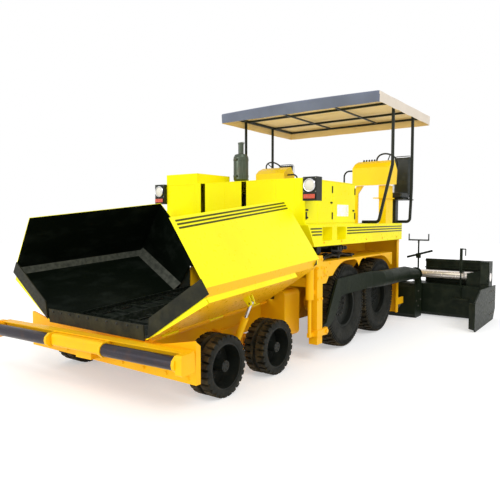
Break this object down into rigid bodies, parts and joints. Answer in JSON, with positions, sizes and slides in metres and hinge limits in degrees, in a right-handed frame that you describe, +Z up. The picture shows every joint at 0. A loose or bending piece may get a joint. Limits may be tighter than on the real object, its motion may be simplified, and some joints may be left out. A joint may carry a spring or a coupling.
{
  "type": "asphalt paver",
  "caption": "Wheeled road paver: tipping-wing hopper with push rollers, slat conveyors, spreading augers, twin stations under an awning and a towed extending screed.",
  "frame": {"origin": "on the ground under the middle of the whole machine's box", "axes": "+X forward towards the hopper, +Y to the machine's left, +Z up"},
  "size_m": [6.8968, 4.91, 3.533],
  "materials": {
    "yellow_paint": "gloss",
    "black_paint": "satin",
    "worn_steel": "worn",
    "cast_grey": "matte",
    "canvas": "matte",
    "vinyl": "matte",
    "rubber": "matte",
    "tyre": "matte"
  },
  "bodies": {
    "chassis": {"main_frame": "yellow_paint", "cylinder_brackets": "yellow_paint", "conveyors": "worn_steel", "hopper_back_wall": "yellow_paint", "apron_flap": "rubber", "axle_beams": "yellow_paint", "fenders": "yellow_paint", "deck": "yellow_paint", "engine_hood": "yellow_paint", "engine_block": "cast_grey", "silencer": "black_paint", "headlamps": "black_paint", "rear_plate": "yellow_paint", "pump_group": "black_paint", "tow_posts": "yellow_paint", "canopy_frame": "black_paint", "canopy_fabric": "canvas", "operator_stations": "yellow_paint", "seat_frames": "black_paint", "seat_cushions": "vinyl", "controls": "black_paint"},
    "push_beam": {"push_beam": "yellow_paint"},
    "screed": {"screed": "black_paint", "tow_arms": "black_paint"},
    "push_roller_left": {"push_roller_left": "worn_steel"},
    "hopper_wing_left": {"hopper_wing_left": "yellow_paint", "wing_flap_left": "rubber"},
    "wing_cylinder_left": {"wing_cylinder_left": "black_paint"},
    "wing_rod_left": {"wing_rod_left": "worn_steel"},
    "push_roller_right": {"push_roller_right": "worn_steel"},
    "hopper_wing_right": {"hopper_wing_right": "yellow_paint", "wing_flap_right": "rubber"},
    "wing_cylinder_right": {"wing_cylinder_right": "black_paint"},
    "wing_rod_right": {"wing_rod_right": "worn_steel"},
    "front_left_knuckle": {"front_left_knuckle": "yellow_paint"},
    "front_left_wheel": {"front_left_tyre": "tyre", "front_left_rim": "black_paint"},
    "front_right_knuckle": {"front_right_knuckle": "yellow_paint"},
    "front_right_wheel": {"front_right_tyre": "tyre", "front_right_rim": "black_paint"},
    "second_left_knuckle": {"second_left_knuckle": "yellow_paint"},
    "second_left_wheel": {"second_left_tyre": "tyre", "second_left_rim": "black_paint"},
    "second_right_knuckle": {"second_right_knuckle": "yellow_paint"},
    "second_right_wheel": {"second_right_tyre": "tyre", "second_right_rim": "black_paint"},
    "drive_front_left_wheel": {"drive_front_left_tyre": "tyre", "drive_front_left_rim": "black_paint"},
    "drive_front_right_wheel": {"drive_front_right_tyre": "tyre", "drive_front_right_rim": "black_paint"},
    "drive_rear_left_wheel": {"drive_rear_left_tyre": "tyre", "drive_rear_left_rim": "black_paint"},
    "drive_rear_right_wheel": {"drive_rear_right_tyre": "tyre", "drive_rear_right_rim": "black_paint"},
    "tow_slide_left": {"tow_slide_left": "worn_steel"},
    "tow_slide_right": {"tow_slide_right": "worn_steel"},
    "screed_extension_left": {"screed_extension_left": "black_paint"},
    "auger_left": {"auger_left": "worn_steel"},
    "screed_extension_right": {"screed_extension_right": "black_paint"},
    "auger_right": {"auger_right": "worn_steel"}
  },
  "joints": [
    {"name": "push_beam_swing", "type": "hinge", "parent": "chassis", "child": "push_beam", "pos_m": [3.08, 0, 0.4], "axis": [0, 0, 1], "range_deg": [-9, 1]},
    {"name": "push_roller_left_spin", "type": "hinge", "parent": "push_beam", "child": "push_roller_left", "pos_m": [3.28949, 0.01465, 0.52], "axis": [-0.0698, 0.9976, 0], "continuous": true},
    {"name": "hopper_wing_left", "type": "hinge", "parent": "chassis", "child": "hopper_wing_left", "pos_m": [3.07, 0.745, 0.598], "axis": [0.9981, 0, -0.061], "range_deg": [-26, 14]},
    {"name": "wing_cylinder_left_pivot", "type": "hinge", "parent": "chassis", "child": "wing_cylinder_left", "pos_m": [1.97091, 0.93, 0.40073], "axis": [0.9981, 0, -0.061], "range_deg": [-20, 11]},
    {"name": "wing_rod_left_slide", "type": "slide", "parent": "wing_cylinder_left", "child": "wing_rod_left", "axis": [0.0548, 0.4404, 0.8961], "range_m": [-0.133, 0.072]},
    {"name": "push_roller_right_spin", "type": "hinge", "parent": "push_beam", "child": "push_roller_right", "pos_m": [3.28949, 0.01465, 0.52], "axis": [-0.0698, 0.9976, 0], "continuous": true},
    {"name": "hopper_wing_right", "type": "hinge", "parent": "chassis", "child": "hopper_wing_right", "pos_m": [3.07, -0.745, 0.598], "axis": [-0.9981, 0, 0.061], "range_deg": [-26, 14]},
    {"name": "wing_cylinder_right_pivot", "type": "hinge", "parent": "chassis", "child": "wing_cylinder_right", "pos_m": [1.97091, -0.93, 0.40073], "axis": [-0.9981, 0, 0.061], "range_deg": [-20, 11]},
    {"name": "wing_rod_right_slide", "type": "slide", "parent": "wing_cylinder_right", "child": "wing_rod_right", "axis": [0.0548, -0.4404, 0.8961], "range_m": [-0.133, 0.072]},
    {"name": "steer_front_left", "type": "hinge", "parent": "chassis", "child": "front_left_knuckle", "pos_m": [2.434, 0.79, 0.304], "axis": [0, 0, 1], "range_deg": [-22, 22]},
    {"name": "roll_front_left", "type": "hinge", "parent": "front_left_knuckle", "child": "front_left_wheel", "pos_m": [2.434, 1.057, 0.304], "axis": [0, 1, 0], "continuous": true},
    {"name": "steer_front_right", "type": "hinge", "parent": "chassis", "child": "front_right_knuckle", "pos_m": [2.434, -0.79, 0.304], "axis": [0, 0, 1], "range_deg": [-22, 22]},
    {"name": "roll_front_right", "type": "hinge", "parent": "front_right_knuckle", "child": "front_right_wheel", "pos_m": [2.434, -1.057, 0.304], "axis": [0, 1, 0], "continuous": true},
    {"name": "steer_second_left", "type": "hinge", "parent": "chassis", "child": "second_left_knuckle", "pos_m": [1.526, 0.79, 0.304], "axis": [0, 0, 1], "range_deg": [-15.4, 15.4]},
    {"name": "roll_second_left", "type": "hinge", "parent": "second_left_knuckle", "child": "second_left_wheel", "pos_m": [1.526, 1.057, 0.304], "axis": [0, 1, 0], "continuous": true},
    {"name": "steer_second_right", "type": "hinge", "parent": "chassis", "child": "second_right_knuckle", "pos_m": [1.526, -0.79, 0.304], "axis": [0, 0, 1], "range_deg": [-15.4, 15.4]},
    {"name": "roll_second_right", "type": "hinge", "parent": "second_right_knuckle", "child": "second_right_wheel", "pos_m": [1.526, -1.057, 0.304], "axis": [0, 1, 0], "continuous": true},
    {"name": "drive_front_left", "type": "hinge", "parent": "chassis", "child": "drive_front_left_wheel", "pos_m": [-0.08, 1.095, 0.56], "axis": [0, 1, 0], "continuous": true},
    {"name": "drive_front_right", "type": "hinge", "parent": "chassis", "child": "drive_front_right_wheel", "pos_m": [-0.08, -1.095, 0.56], "axis": [0, 1, 0], "continuous": true},
    {"name": "drive_rear_left", "type": "hinge", "parent": "chassis", "child": "drive_rear_left_wheel", "pos_m": [-1.234, 1.095, 0.56], "axis": [0, 1, 0], "continuous": true},
    {"name": "drive_rear_right", "type": "hinge", "parent": "chassis", "child": "drive_rear_right_wheel", "pos_m": [-1.234, -1.095, 0.56], "axis": [0, 1, 0], "continuous": true},
    {"name": "tow_point_left", "type": "slide", "parent": "chassis", "child": "tow_slide_left", "axis": [0, 0, 1], "range_m": [0, 0.3]},
    {"name": "tow_point_right", "type": "slide", "parent": "chassis", "child": "tow_slide_right", "axis": [0, 0, 1], "range_m": [0, 0.3]},
    {"name": "screed_lift", "type": "hinge", "parent": "tow_slide_left", "child": "screed", "pos_m": [0.69, 0, 0.36], "axis": [0, 1, 0], "range_deg": [0, 6]},
    {"name": "screed_extension_left", "type": "slide", "parent": "screed", "child": "screed_extension_left", "axis": [0, 1, 0], "range_m": [-0.9, 0]},
    {"name": "auger_left_spin", "type": "hinge", "parent": "chassis", "child": "auger_left", "pos_m": [-2.345, 0.63, 0.335], "axis": [0, 1, 0], "continuous": true},
    {"name": "screed_extension_right", "type": "slide", "parent": "screed", "child": "screed_extension_right", "axis": [0, -1, 0], "range_m": [-0.9, 0]},
    {"name": "auger_right_spin", "type": "hinge", "parent": "chassis", "child": "auger_right", "pos_m": [-2.345, -0.63, 0.335], "axis": [0, 1, 0], "continuous": true}
  ],
  "couplings": [
    {"joint": "wing_cylinder_left_pivot", "follows": "hopper_wing_left", "ratio": 0.725},
    {"joint": "wing_rod_left_slide", "follows": "hopper_wing_left", "m_per_rad": 0.29},
    {"joint": "wing_cylinder_right_pivot", "follows": "hopper_wing_right", "ratio": 0.725},
    {"joint": "wing_rod_right_slide", "follows": "hopper_wing_right", "m_per_rad": 0.29},
    {"joint": "steer_front_right", "follows": "steer_front_left", "ratio": 1},
    {"joint": "steer_second_left", "follows": "steer_front_left", "ratio": 0.7},
    {"joint": "steer_second_right", "follows": "steer_front_left", "ratio": 0.7},
    {"joint": "tow_point_right", "follows": "tow_point_left", "ratio": 1}
  ]
}
